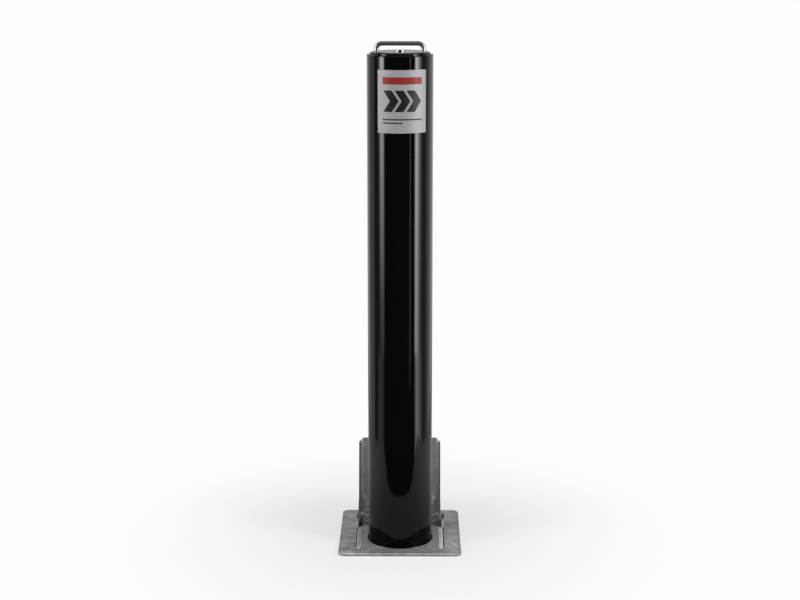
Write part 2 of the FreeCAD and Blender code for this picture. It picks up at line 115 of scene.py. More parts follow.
class Graph:
    """A short way to write a material's or the world's nodes."""

    def __init__(self, tree):
        self.tree = tree

    def node(self, kind, **values):
        """Add a node and set its properties."""
        made = self.tree.nodes.new(kind)
        for name, value in values.items():
            setattr(made, name, value)
        return made

    def link(self, source, target):
        """Join an output to an input."""
        self.tree.links.new(source, target)

    def feed(self, socket, value):
        """Give a socket a constant or another node's output."""
        if isinstance(value, bpy.types.NodeSocket):
            self.link(value, socket)
        else:
            socket.default_value = value

    def coordinate(self, kind):
        """A place or direction on the surface, of the kind named."""
        return self.node("ShaderNodeTexCoord").outputs[kind]

    def parts(self, vector):
        """A vector's three parts."""
        made = self.node("ShaderNodeSeparateXYZ")
        self.feed(made.inputs[0], vector)
        return made.outputs

    def stretch(self, vector, x, y, z):
        """A vector with each part made longer by its own factor."""
        made = self.node("ShaderNodeVectorMath", operation="MULTIPLY")
        self.feed(made.inputs[0], vector)
        made.inputs[1].default_value = (x, y, z)
        return made.outputs[0]

    def math(self, operation, *values):
        """One step of arithmetic."""
        made = self.node("ShaderNodeMath", operation=operation)
        for socket, value in zip(made.inputs, values):
            self.feed(socket, value)
        return made.outputs[0]

    def plus(self, first, second):
        return self.math("ADD", first, second)

    def minus(self, first, second):
        return self.math("SUBTRACT", first, second)

    def times(self, first, second):
        return self.math("MULTIPLY", first, second)

    def larger(self, first, second):
        return self.math("MAXIMUM", first, second)

    def size(self, value):
        return self.math("ABSOLUTE", value)

    def total(self, *weighted):
        """The sum of some values, each given with its weight."""
        result = 0.0
        for value, weight in weighted:
            result = self.math("MULTIPLY_ADD", value, weight, result)
        return result

    def spread(self, value, low, high, to_low=0.0, to_high=1.0, smooth=True):
        """Carry a range of values to another range, held at its ends."""
        made = self.node("ShaderNodeMapRange", clamp=True)
        made.interpolation_type = "SMOOTHSTEP" if smooth else "LINEAR"
        for socket, item in zip(made.inputs, (value, low, high, to_low, to_high)):
            self.feed(socket, item)
        return made.outputs[0]

    def fade(self, value, low, high, level=1.0):
        """A level up to the low value, which goes to nothing at the high one."""
        return self.spread(value, low, high, level, 0.0)

    def ramp(self, value, stops):
        """A grey that follows (place, level) stops."""
        made = self.node("ShaderNodeValToRGB")
        self.feed(made.inputs[0], value)
        band = made.color_ramp
        while len(band.elements) < len(stops):
            band.elements.new(0.5)
        for element, (place, level) in zip(band.elements, stops):
            element.position = place
            element.color = grey(level)
        return made.outputs["Color"]

    def noise(self, vector, scale, detail=2.0, roughness=0.5, distortion=0.0):
        """Cloudy noise, about 0.5 on average."""
        made = self.node("ShaderNodeTexNoise")
        self.feed(made.inputs["Vector"], vector)
        made.inputs["Scale"].default_value = scale
        made.inputs["Detail"].default_value = detail
        made.inputs["Roughness"].default_value = roughness
        made.inputs["Distortion"].default_value = distortion
        return made.outputs["Fac"]

    def cells(self, vector, scale, feature="F1"):
        """A pattern of random cells."""
        made = self.node("ShaderNodeTexVoronoi", feature=feature)
        self.feed(made.inputs["Vector"], vector)
        made.inputs["Scale"].default_value = scale
        return made

    def mix(self, factor, first, second):
        """Mix two colours or two greys."""
        made = self.node("ShaderNodeMix", data_type="RGBA")
        self.feed(made.inputs["Factor"], factor)
        self.feed(made.inputs["A"], first)
        self.feed(made.inputs["B"], second)
        return made.outputs["Result"]

    def matt(self, colour):
        """A matt shader of one colour."""
        made = self.node("ShaderNodeBsdfDiffuse")
        self.feed(made.inputs["Color"], colour)
        return made.outputs[0]

    def glow(self, colour):
        """A glowing shader of one colour."""
        made = self.node("ShaderNodeEmission")
        self.feed(made.inputs["Color"], colour)
        return made.outputs[0]

    def blend(self, factor, first, second):
        """Mix two shaders."""
        made = self.node("ShaderNodeMixShader")
        self.feed(made.inputs[0], factor)
        self.link(first, made.inputs[1])
        self.link(second, made.inputs[2])
        return made.outputs[0]


def grey(level, warm=0.0):
    """A grey colour, a little warm or cool."""
    return (level * (1 + warm), level, level * (1 - warm), 1.0)


def zinc_tone(level, warm):
    """A zinc grey: faintly green, and a little warm or cool."""
    return (level * (0.98 + warm), level, level * (0.952 - warm), 1.0)


def cleared_graph(owner):
    """Turn on the nodes of a material or a world, clear them and return their graph."""
    owner.use_nodes = True
    owner.node_tree.nodes.clear()
    return Graph(owner.node_tree)


def new_material(name, **sockets):
    """A material whose shader has these constants, with its graph and its own coordinates."""
    material = bpy.data.materials.new(name)
    material.use_nodes = True
    graph = Graph(material.node_tree)
    shader = material.node_tree.nodes["Principled BSDF"]
    for socket, value in sockets.items():
        shader.inputs[socket.replace("_", " ")].default_value = value
    return material, graph, shader, graph.coordinate("Object")


def give_surface(graph, shader, colour, rough, height, depth):
    """Link a shader's colour and roughness, and a bump whose height of 1 stands for the depth."""
    bump = graph.node("ShaderNodeBump")
    bump.inputs["Distance"].default_value = depth
    graph.link(height, bump.inputs["Height"])
    graph.link(colour, shader.inputs["Base Color"])
    graph.link(rough, shader.inputs["Roughness"])
    graph.link(bump.outputs["Normal"], shader.inputs["Normal"])


# Paint

# How high the painted dark reflection at the post's foot reaches, at its front and behind
FOOT_DARK_FRONT = 20.0 * MM
FOOT_DARK_BEHIND = 35.5 * MM


def foot_dark_reflection(graph, place):
    """A ragged ring just above the ground where the paint's reflection is turned down: a painted dark
    reflection of the flange.
    """
    _, y, z = graph.parts(place)
    ragged = graph.noise(place, 70.0, detail=3.0, roughness=0.6)
    reach = graph.spread(y, -61 * MM, -46 * MM, FOOT_DARK_FRONT, FOOT_DARK_BEHIND)
    line = graph.plus(reach, graph.math("MULTIPLY_ADD", ragged, 6 * MM, -3 * MM))
    darkened_ring = graph.fade(graph.minus(z, line), -3 * MM, 2.5 * MM)
    return graph.times(darkened_ring, graph.spread(z, -6 * MM, 2 * MM))


def black_paint():
    """Gloss black powder coat with a slight orange peel and a few dust specks, and a painted dark reflection
    of the flange in a ragged ring at its foot.
    """
    material, graph, shader, place = new_material("gloss_black", Metallic=0.0, IOR=1.5)
    peel = graph.noise(place, 230.0, detail=1.0, roughness=0.4)
    waves = graph.noise(place, 34.0, detail=1.0, roughness=0.4)
    cloud = graph.noise(place, 9.0, detail=3.0, roughness=0.6)
    dust = graph.spread(graph.noise(place, 900.0, detail=1.0), 0.74, 0.8)
    black = graph.mix(cloud, grey(0.0016), grey(0.0030, 0.03))
    colour = graph.mix(graph.times(dust, 0.35), black, grey(0.02))
    rough = graph.total((graph.spread(cloud, 0.3, 0.75, 0.055, 0.105), 1.0), (dust, 0.15))
    give_surface(graph, shader, colour, rough, graph.total((peel, 0.12), (waves, 1.0)), 0.04 * MM)
    # Painted dark reflection: in the ring at the foot the paint's reflection is turned almost off, so it
    # shows black.
    foot_reflection_level = graph.spread(foot_dark_reflection(graph, place), 0.0, 1.0, 0.5, 0.05)
    graph.link(foot_reflection_level, shader.inputs["Specular IOR Level"])
    return material


# Zinc

# Scuffs on the flange's top, in millimetres: start, finish and half width
SCUFFS = [
    ((92.0, -26.0), (110.0, -53.0), 2.0),
    ((87.0, 38.0), (98.0, 18.0), 1.3),
    ((94.0, -66.0), (105.0, -69.0), 1.8),
    ((101.0, -80.0), (109.0, -77.0), 2.0),
    ((-108.0, -78.0), (-88.0, -80.5), 1.6),
    ((-104.0, 96.0), (-84.0, 104.0), 1.2),
]
SCUFF_END = 3.0 * MM


def spangle(graph, place):
    """A random level for each crystal of the zinc."""
    warp = graph.noise(place, 38.0, roughness=0.55)
    bent = graph.node("ShaderNodeVectorMath", operation="ADD")
    graph.link(place, bent.inputs[0])
    graph.link(graph.times(warp, 6 * MM), bent.inputs[1])
    return graph.parts(graph.cells(bent.outputs[0], 105.0).outputs["Color"])[0]


def thin_scratches(graph, place):
    """Thin rubbed lines that come and go."""
    edges = graph.cells(graph.stretch(place, 28.0, 5.0, 28.0), 1.0, "DISTANCE_TO_EDGE")
    line = graph.fade(edges.outputs["Distance"], 0.0, 0.006)
    return graph.times(line, graph.spread(graph.noise(place, 45.0), 0.58, 0.68))


def galvanised(name, light, dark, metallic=0.35, wear_and_light=None, stains_and_shade=None):
    """Hot-dip zinc with faint spangle, cloudy mottling, rolling streaks, white bloom and bright scratches.

    light and dark are its two greys. Its last two arguments say where it is rubbed bright or carries painted
    light, and where it is dirty or carries painted shade.
    """
    material, graph, shader, place = new_material(name, IOR=1.5)
    cloud = graph.noise(place, 17.0, detail=5.0, roughness=0.62, distortion=0.4)
    blotch = graph.noise(place, 60.0, detail=4.0, roughness=0.6)
    streak = graph.noise(graph.stretch(place, 14.0, 120.0, 22.0), 1.0, detail=3.0, roughness=0.6)
    flake = spangle(graph, place)
    tone = graph.total((cloud, 0.75), (blotch, 0.5), (flake, 0.1), (streak, 0.32))
    back = graph.spread(graph.parts(place)[1], -0.06, 0.06)
    pale = graph.mix(back, zinc_tone(light, -0.028), zinc_tone(light, 0.025))
    dull = graph.mix(back, zinc_tone(dark, -0.038), zinc_tone(dark, 0.035))
    colour = graph.mix(graph.spread(tone, 0.62, 1.1, smooth=False), dull, pale)
    bloom = graph.spread(graph.noise(place, 28.0, detail=6.0, roughness=0.68, distortion=0.8), 0.54, 0.74)
    colour = graph.mix(graph.times(bloom, 0.4), colour, zinc_tone(light * 1.35, -0.01))
    worn_and_lit = thin_scratches(graph, place)
    if wear_and_light is not None:
        worn_and_lit = graph.larger(worn_and_lit, wear_and_light(graph, place, blotch))
    # Paler where it is rubbed, and where light is painted on it.
    colour = graph.mix(graph.times(worn_and_lit, 0.8), colour, grey(0.9))
    # Darker where it is dirty or darkened, and where shade is painted on it.
    if stains_and_shade is not None:
        colour = graph.mix(stains_and_shade(graph, place), colour, grey(0.012))
    rough = graph.total((graph.spread(tone, 0.6, 1.15, 0.62, 0.42), 1.0), (worn_and_lit, -0.12))
    height = graph.total((cloud, 1.6), (flake, 0.06), (blotch, 0.5))
    give_surface(graph, shader, colour, rough, height, 0.22 * MM)
    graph.link(graph.fade(worn_and_lit, 0.0, 1.0, metallic), shader.inputs["Metallic"])
    return material


def scuff(graph, x, y, start, finish, half_width):
    """A rubbed line between two places on the flange, brightest along its middle."""
    start = Vector(start) * MM
    along = Vector(finish) * MM - start
    reach = along.length
    along.normalize()
    ahead = graph.minus(x, start.x)
    aside = graph.minus(y, start.y)
    run = graph.total((ahead, along.x), (aside, along.y))
    off = graph.total((ahead, along.y), (aside, -along.x))
    ends = graph.times(graph.spread(run, 0.0, SCUFF_END), graph.fade(run, reach - SCUFF_END, reach))
    return graph.times(graph.fade(graph.size(off), 0.0, half_width * MM), ends)


def flange_scuffs_and_highlight(graph, place, blotch):
    """Where the flange is paler: a painted highlight along the top of its front edge, and a few rubbed
    scuffs.
    """
    x, y, z = graph.parts(place)
    front = graph.minus(y, flange_low.y)
    # Painted highlight: the top of the front edge is made paler, as if it caught the light.
    rim = graph.times(graph.fade(front, 0.3 * MM, 2.2 * MM), graph.spread(z, 2.4 * MM, 3.4 * MM))
    wear_and_light = graph.times(rim, graph.spread(blotch, 0.3, 0.7, 0.35, 0.75))
    broken = graph.spread(blotch, 0.3, 0.6, 0.4, 1.0)
    for start, finish, half_width in SCUFFS:
        rubbed = scuff(graph, x, y, start, finish, half_width)
        wear_and_light = graph.larger(wear_and_light, graph.times(rubbed, broken))
    return wear_and_light


def flange_darkening_and_shadow(graph, place):
    """The flange darker along its side and rear borders, a painted contact shadow low on its edge, and
    faintly darker along its front except towards its left end.
    """
    x, y, z = graph.parts(place)
    middle = (flange_low.x + flange_high.x) / 2
    half_width = (flange_high.x - flange_low.x) / 2
    side = graph.minus(half_width, graph.size(graph.minus(x, middle)))
    rear = graph.minus(flange_high.y, y)
    border = graph.fade(graph.math("MINIMUM", side, rear), 0.8 * MM, 3.2 * MM, 0.3)
    # Painted shadow: the lower part of the flange's edge is darkened where it meets the floor.
    edge = graph.fade(z, 1.8 * MM, 3.0 * MM, 0.4)
    front = graph.times(graph.fade(y, -74 * MM, -36 * MM, 0.15), graph.spread(x, -90 * MM, -40 * MM))
    return graph.larger(graph.larger(border, edge), front)


def on_side_rims(graph, x):
    """1 on the lid's side rims, which are as thick as its plate, and 0 between them."""
    middle = (lid_low.x + lid_high.x) / 2
    inner = (lid_high.x - lid_low.x) / 2 - LID_THICKNESS
    return graph.spread(graph.size(graph.minus(x, middle)), inner - 0.3 * MM, inner + 0.3 * MM)


def facing_front(graph):
    """1 where a surface faces the front and 0 where it doesn't."""
    return graph.fade(graph.parts(graph.coordinate("Normal"))[1], -0.7, -0.4)


def lid_painted_light(graph, place, blotch):
    """Painted light on the lid's front: paler low down, against the post's shade, and beside its side rims,
    against their shade; none on the rims themselves.
    """
    x, _, z = graph.parts(place)
    ragged = graph.math("MULTIPLY_ADD", blotch, -50 * MM, z)
    # Painted light: the front grows paler towards the lid's foot.
    low = graph.times(graph.fade(ragged, -3 * MM, 33 * MM), facing_front(graph))
    mottle = graph.noise(place, 130.0, detail=4.0, roughness=0.65)
    low = graph.times(low, graph.spread(mottle, 0.35, 0.65, 0.55, 1.15))
    # Painted light: paler beside the side rims.
    left = graph.fade(x, lid_low.x + 5 * MM, lid_low.x + 10 * MM, 0.6)
    right = graph.spread(x, lid_high.x - 9 * MM, lid_high.x - 5 * MM, 0.0, 0.6)
    rim_side_light = graph.times(graph.larger(left, right), graph.spread(blotch, 0.2, 0.7, 0.7, 1.2))
    between = graph.minus(1.0, on_side_rims(graph, x))
    return graph.times(graph.larger(low, rim_side_light), between)


def lid_painted_shade(graph, place):
    """Painted shade: the side rims darkened into a dark line above the ears, and the ears' front edges
    darkened low down.
    """
    x, _, z = graph.parts(place)
    # Painted shade on the ears' front edges and along the rims.
    ear = graph.times(graph.fade(z, 13 * MM, 24 * MM, 0.75), facing_front(graph))
    rim_line_shade = graph.spread(z, 20 * MM, 40 * MM, 0.0, 0.5)
    return graph.times(on_side_rims(graph, x), graph.larger(ear, rim_line_shade))


def pin_painted_shade(graph, place):
    """The pin's ends, darkened beyond where it stays bright: painted shade."""
    return graph.spread(graph.size(graph.parts(place)[0]), PIN_SHADE_FROM, PIN_SHADE_FROM + 0.6 * MM)


# Label, bare metals and plastics

def label_silver():
    """Satin silver foil with a fine grain along the label and faint, slightly lilac clouds."""
    material, graph, shader, place = new_material("satin_silver", Metallic=0.3, IOR=1.45)
    grain = graph.noise(graph.stretch(place, 300.0, 300.0, 2600.0), 1.0, roughness=0.6)
    cloud = graph.noise(place, 30.0, detail=3.0, roughness=0.55)
    clouds = graph.mix(cloud, (0.335, 0.328, 0.355, 1.0), (0.41, 0.405, 0.425, 1.0))
    colour = graph.mix(graph.times(grain, 0.25), clouds, grey(0.45))
    rough = graph.spread(grain, 0.3, 0.7, 0.5, 0.62)
    give_surface(graph, shader, colour, rough, graph.total((grain, 0.25), (cloud, 1.0)), 0.03 * MM)
    return material


def print_ink(name, colour, shade):
    """Screen-printed ink with a slight unevenness."""
    material, graph, shader, place = new_material(name, Metallic=0.0, IOR=1.48)
    patch = graph.noise(place, 120.0, detail=3.0, roughness=0.6)
    rough = graph.spread(patch, 0.3, 0.7, 0.42, 0.55)
    give_surface(graph, shader, graph.mix(patch, colour, shade), rough, patch, 0.01 * MM)
    return material


def polished_metal(name, level, warm, rough, grain, metallic=1.0):
    """Polished or drawn metal with fine lines along one way and faint smears.

    rough is its lowest and highest roughness, and grain how fine the lines are along x, y and z.
    """
    material, graph, shader, place = new_material(name, Metallic=metallic)
    lines = graph.noise(graph.stretch(place, *grain), 1.0, detail=3.0, roughness=0.6)
    smear = graph.noise(place, 55.0, detail=3.0, roughness=0.6)
    colour = graph.mix(smear, grey(level * 0.86, warm), grey(level, warm))
    tone = graph.total((lines, 0.5), (smear, 0.5))
    give_surface(graph, shader, colour, graph.spread(tone, 0.35, 0.65, *rough), lines, 0.012 * MM)
    return material


def raw_steel():
    """Hot-rolled bar with blue-grey scale and a few brown flecks."""
    material, graph, shader, place = new_material("rolled_steel", Metallic=0.55)
    scale = graph.noise(place, 48.0, detail=6.0, roughness=0.66)
    fleck = graph.spread(graph.noise(place, 150.0, detail=4.0, roughness=0.65), 0.58, 0.72)
    grey_scale = graph.mix(scale, grey(0.055, -0.04), grey(0.15))
    colour = graph.mix(graph.times(fleck, 0.55), grey_scale, (0.17, 0.085, 0.045, 1.0))
    give_surface(graph, shader, colour, graph.spread(scale, 0.3, 0.7, 0.7, 0.48), scale, 0.15 * MM)
    return material


def plastic(name, dark, light, rough, warm=0.0):
    """Moulded plastic with a fine spark-eroded grain."""
    material, graph, shader, place = new_material(name, Metallic=0.0, IOR=1.5)
    grain = graph.noise(place, 1500.0, roughness=0.6)
    cloud = graph.noise(place, 40.0, detail=3.0, roughness=0.6)
    colour = graph.mix(cloud, grey(dark, warm), grey(light, warm))
    give_surface(graph, shader, colour, graph.spread(cloud, 0.3, 0.7, rough, rough + 0.12), grain, 0.02 * MM)
    return material


paint = black_paint()
zinc_flange = galvanised("zinc_flange", light=0.72, dark=0.31, metallic=0.55, wear_and_light=flange_scuffs_and_highlight,
                         stains_and_shade=flange_darkening_and_shadow)
zinc_lid = galvanised("zinc_lid", light=0.30, dark=0.19, metallic=0.3, wear_and_light=lid_painted_light, stains_and_shade=lid_painted_shade)
zinc_socket = galvanised("zinc_socket", light=0.42, dark=0.22)
# The hinge leaf's and pin's zinc is paler than the rest, to lift the shade behind the post: painted light.
zinc_hinge_lit = galvanised("zinc_hinge_lit", light=0.85, dark=0.66, metallic=0.1)
zinc_pin_lit = galvanised("zinc_pin_lit", light=0.85, dark=0.66, metallic=0.1, stains_and_shade=pin_painted_shade)
# The two rest bars are one zinc in shaded and lit copies: the right one is paler, painted light.
zinc_bar_shaded = galvanised("zinc_bar_shaded", light=0.62, dark=0.38, metallic=0.3)
zinc_bar_lit = galvanised("zinc_bar_lit", light=0.9, dark=0.7, metallic=0.3)
silver = label_silver()
ink_black = print_ink("ink_black", grey(0.004), grey(0.009))
ink_red = print_ink("ink_red", (0.30, 0.014, 0.010, 1.0), (0.24, 0.010, 0.008, 1.0))
handle_steel = polished_metal("polished_stainless", level=0.52, warm=0.02, rough=(0.2, 0.3),
                              grain=(900.0, 900.0, 60.0), metallic=0.9)
chrome = polished_metal("chrome", level=0.78, warm=-0.01, rough=(0.06, 0.12), grain=(300.0, 300.0, 300.0))
nickel = polished_metal("nickel_plug", level=0.42, warm=0.05, rough=(0.2, 0.32), grain=(700.0, 60.0, 700.0))
bright_zinc = polished_metal("bright_zinc", level=0.72, warm=-0.01, rough=(0.26, 0.42),
                             grain=(1200.0, 40.0, 900.0))
drawn_steel = polished_metal("drawn_steel", level=0.46, warm=0.01, rough=(0.28, 0.42),
                             grain=(800.0, 800.0, 30.0))
rolled_steel = raw_steel()
black_plastic = plastic("black_plastic", dark=0.008, light=0.013, rough=0.3)
nylon_white = plastic("nylon_white", dark=0.6, light=0.68, rough=0.42, warm=0.05)
black_steel = plastic("black_steel", dark=0.006, light=0.012, rough=0.45)
lip_plastic = plastic("lip_plastic", dark=0.004, light=0.008, rough=0.08)
# Near-white zinc for the rest bars' front seams and the runs in the slots: a painted highlight.
highlight_zinc = polished_metal("highlight_zinc", level=0.95, warm=-0.01, rough=(0.4, 0.55),
                             grain=(240.0, 240.0, 240.0), metallic=0.1)
zinc_weld = galvanised("zinc_weld", light=0.52, dark=0.32)

SLOT_LOOKS = {
    "black_paint": paint,
    "label_silver": silver,
    "lock_chrome": chrome,
    "lock_brass": nickel,
    "handle_steel": handle_steel,
    "galvanised_steel": zinc_socket,
    "bright_zinc": bright_zinc,
    "plain_steel": drawn_steel,
    "raw_steel": rolled_steel,
    "ring_plastic": black_plastic,
    "nylon": nylon_white,
}
NODE_LOOKS = {
    "ground_flange": zinc_flange,
    "hinged_lid": zinc_lid,
    "hinge_leaf": zinc_hinge_lit,
    "hinge_pin": zinc_pin_lit,
    "rest_bar_left": zinc_bar_shaded,
    "rest_bar_right": zinc_bar_lit,
    "pin_clip_left": black_steel,
    "pin_clip_right": black_steel,
}


def dress_nodes():
    """Give every piece of the frame its finish."""
    for name, piece in frame["nodes"].items():
        for slot in piece.material_slots:
            slot.material = NODE_LOOKS.get(name) or SLOT_LOOKS[slot.material.name]


# Mesh helpers

def link_object(name, data):
    """An object of this mesh or camera, linked to the scene."""
    made = bpy.data.objects.new(name, data)
    bpy.context.scene.collection.objects.link(made)
    return made


def mesh_object(name, points, faces, material, body, smooth=True):
    """A mesh piece that rides on a body."""
    mesh = bpy.data.meshes.new(name)
    mesh.from_pydata(points, [], faces)
    mesh.validate()
    mesh.update()
    if smooth:
        mesh.shade_smooth()
    else:
        mesh.shade_flat()
    mesh.materials.append(material)
    piece = link_object(name, mesh)
    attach(piece, body)


def turned(name, section, material, body, segments):
    """A closed ring turned about the post's axis from its section, given as (radius, level)."""
    count = len(section)
    points = []
    for step in range(segments):
        turn = 2 * math.pi * step / segments
        for radius, level in section:
            points.append(Vector((radius * math.cos(turn), radius * math.sin(turn), level)))
    faces = []
    for step in range(segments):
        first = step * count
        second = (step + 1) % segments * count
        for corner in range(count):
            ahead = (corner + 1) % count
            faces.append((first + corner, second + corner, second + ahead, first + ahead))
    mesh_object(name, points, faces, material, body)


def arc(centre, radius, start, finish, steps):
    """Section points round an arc, in degrees from outward towards up."""
    turns = [math.radians(start + (finish - start) * step / steps) for step in range(steps + 1)]
    return [(centre[0] + radius * math.cos(turn), centre[1] + radius * math.sin(turn)) for turn in turns]


def circle_line(centre, across, upward, radius, count):
    """Points round a circle that lies in the plane of two directions."""
    turns = (2 * math.pi * step / count for step in range(count))
    return [centre + (across * math.cos(turn) + upward * math.sin(turn)) * radius for turn in turns]


def straight_line(start, finish, step=0.55 * MM):
    """Points along a straight run, both ends included."""
    start = Vector(start)
    finish = Vector(finish)
    count = max(2, round((finish - start).length / step))
    return [start.lerp(finish, index / count) for index in range(count + 1)]


# Label print

LABEL_SURFACE = post_radius + 0.45 * MM
INK = 0.1 * MM
INK_ROWS = 12
INK_COLUMN = 1.2 * MM


def ink_lines(rows):
    """The rows of a printed patch with more rows between them."""
    lines = []
    for (left, right, level), (next_left, next_right, next_level) in zip(rows, rows[1:]):
        for step in range(INK_ROWS):
            share = step / INK_ROWS
            lines.append((left + (next_left - left) * share, right + (next_right - right) * share,
                          level + (next_level - level) * share))
    return lines + [rows[-1]]


def wrapped(name, rows, material):
    """A thin printed patch on the label. Its rows are (left, right, height), measured along the label."""
    columns = max(4, round(max(right - left for left, right, _ in rows) / INK_COLUMN))
    lines = ink_lines(rows)
    points = []
    for reach in (LABEL_SURFACE, LABEL_SURFACE + INK):
        for left, right, level in lines:
            for column in range(columns + 1):
                angle = LABEL_TURN + (left + (right - left) * column / columns) / LABEL_SURFACE
                points.append(Vector((reach * math.sin(angle), -reach * math.cos(angle), level)))
    width = columns + 1
    height = len(lines)
    layer = width * height
    faces = []
    for row in range(height - 1):
        for column in range(columns):
            first = row * width + column
            under = (first, first + 1, first + width + 1, first + width)
            faces.append(under[::-1])
            faces.append(tuple(layer + corner for corner in under))
    rim = list(range(columns))
    rim += [row * width + columns for row in range(height - 1)]
    rim += [layer - 1 - column for column in range(columns)]
    rim += [row * width for row in range(height - 1, 0, -1)]
    for first, second in zip(rim, rim[1:] + rim[:1]):
        faces.append((first, second, layer + second, layer + first))
    mesh_object(name, points, faces, material, "post", smooth=False)


def label_print():
    """The generic print: a red band at the top, three black chevrons below it and two thin lines."""
    half = 35.0 * MM
    band_foot = label_low.z + 82.0 * MM
    band_tall = 12.0 * MM
    wrapped("label_band", [(-half, half, band_foot), (-half, half, band_foot + band_tall)], ink_red)
    width = 15.0 * MM
    spacing = 20.0 * MM
    point = 12.0 * MM
    foot = label_low.z + 36.0 * MM
    tall = 36.0 * MM
    for index in range(3):
        left = -half + 1.5 * MM + index * spacing
        rows = [(left, left + width, foot), (left + point, left + point + width, foot + tall / 2),
                (left, left + width, foot + tall)]
        wrapped("label_chevron_" + str(index + 1), rows, ink_black)
    line_tall = 2.2 * MM
    for number, (level, right) in enumerate(((22.0 * MM, half), (16.0 * MM, 0.0))):
        line_foot = label_low.z + level
        rows = [(-half, right, line_foot), (-half, right, line_foot + line_tall)]
        wrapped("label_line_" + str(number + 1), rows, ink_black)


# Weld beads

BEAD_SIDES = 8
RIPPLE_PITCH = 2.2 * MM
RIPPLE_DEPTH = 0.16
RIPPLE_CHANCE = 0.05


def bead(name, line, radius, material, seed, closed=False):
    """A rippled weld bead of the socket along a line of points. Its ends taper where it isn't closed."""
    chance = random.Random(seed)
    count = len(line)
    points = []
    travelled = 0.0
    for index, centre in enumerate(line):
        before = line[index - 1] if closed or index > 0 else centre
        after = line[(index + 1) % count] if closed or index < count - 1 else centre
        along = (after - before).normalized()
        side = along.orthogonal().normalized()
        upward = along.cross(side)
        travelled += (centre - line[index - 1]).length if index else 0.0
        wave = RIPPLE_DEPTH * math.sin(travelled / RIPPLE_PITCH * 2 * math.pi)
        ripple = 1 + wave + chance.uniform(-RIPPLE_CHANCE, RIPPLE_CHANCE)
        taper = 1.0 if closed else min(1.0, 0.35 + 0.3 * min(index, count - 1 - index))
        points += circle_line(centre, side, upward, radius * ripple * taper, BEAD_SIDES)
    faces = []
    for ring in range(count if closed else count - 1):
        first = ring * BEAD_SIDES
        second = (ring + 1) % count * BEAD_SIDES
        for corner in range(BEAD_SIDES):
            ahead = (corner + 1) % BEAD_SIDES
            faces.append((first + corner, first + ahead, second + ahead, second + corner))
    if not closed:
        faces.append(tuple(range(BEAD_SIDES))[::-1])
        faces.append(tuple((count - 1) * BEAD_SIDES + corner for corner in range(BEAD_SIDES)))
    mesh_object(name, points, faces, material, "socket")


def sleeve_welds():
    """The seams round the sleeve, under the flange and at its floor."""
    across = Vector((1.0, 0.0, 0.0))
    deep = Vector((0.0, 1.0, 0.0))
    under_flange = circle_line(UP * -1.8 * MM, across, deep, sleeve_radius + 0.6 * MM, 360)
    bead("weld_sleeve_flange", under_flange, radius=2.2 * MM, material=zinc_weld, seed=11, closed=True)
    at_floor = circle_line(UP * sleeve_low.z, across, deep, sleeve_radius - 0.6 * MM, 360)
    bead("weld_sleeve_floor", at_floor, radius=1.4 * MM, material=zinc_weld, seed=12, closed=True)


def anchor_welds():
    """The seam round each anchor bar where it meets the sleeve."""
    for number in range(1, 5):
        bar_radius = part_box("anchor_bar_" + str(number))[1].z - ANCHOR_LEVEL
        turn = math.radians(90 * number - 45)
        outward = Vector((math.cos(turn), math.sin(turn), 0.0))
        across = Vector((-math.sin(turn), math.cos(turn), 0.0))
        centre = outward * (sleeve_radius + 0.8 * MM) + UP * ANCHOR_LEVEL
        seam = circle_line(centre, across, UP, bar_radius + 0.6 * MM, 48)
        bead("weld_anchor_" + str(number), seam, radius=1.7 * MM, material=zinc_weld, seed=20 + number,
             closed=True)


def leaf_welds():
    """The two seams along the front of the hinge leaf."""
    half_gap = 18 * MM
    inset = 1.5 * MM
    y = leaf_low.y - 0.3 * MM
    level = flange_high.z + 0.7 * MM
    runs = (("left", leaf_low.x + inset, -half_gap), ("right", half_gap, leaf_high.x - inset))
    for name, start, finish in runs:
        seam = straight_line((start, y, level), (finish, y, level))
        bead("weld_leaf_" + name, seam, radius=1.5 * MM, material=zinc_weld, seed=31)


def slot_welds():
    """The seam across the front end of each rest bar, near-white as a painted highlight, and the one round
    each slot's pocket.
    """
    pocket_level = -0.9 * MM
    for name in ("left", "right"):
        low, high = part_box("rest_bar_" + name)
        y = low.y + 0.2 * MM
        level = high.z - 0.9 * MM
        seam = straight_line((low.x + 0.7 * MM, y, level), (high.x - 0.7 * MM, y, level))
        # Painted highlight: the bar's front seam in near-white zinc.
        bead("weld_rest_" + name, seam, radius=1.3 * MM, material=highlight_zinc, seed=41)
        low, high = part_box("slot_pocket_" + name)
        corners = [(low.x, low.y), (high.x, low.y), (high.x, high.y), (low.x, high.y)]
        seam = []
        for first, second in zip(corners, corners[1:] + corners[:1]):
            seam += straight_line((*first, pocket_level), (*second, pocket_level), 1.0 * MM)[:-1]
        bead("weld_pocket_" + name, seam, radius=1.5 * MM, material=zinc_weld, seed=51, closed=True)


# Runs of zinc in the slots, near-white as painted highlights

# A run's section: how far inward and up from its lower outer corner, as shares of its width and depth
RUN_SECTION = ((0, 0), (0, 1), (0.35, 0.95), (0.75, 0.8), (1, 0.5), (1, 0))
RUN_DEPTH = 4.0 * MM
RUN_STEPS = 48
RUN_CHANCE = 0.08


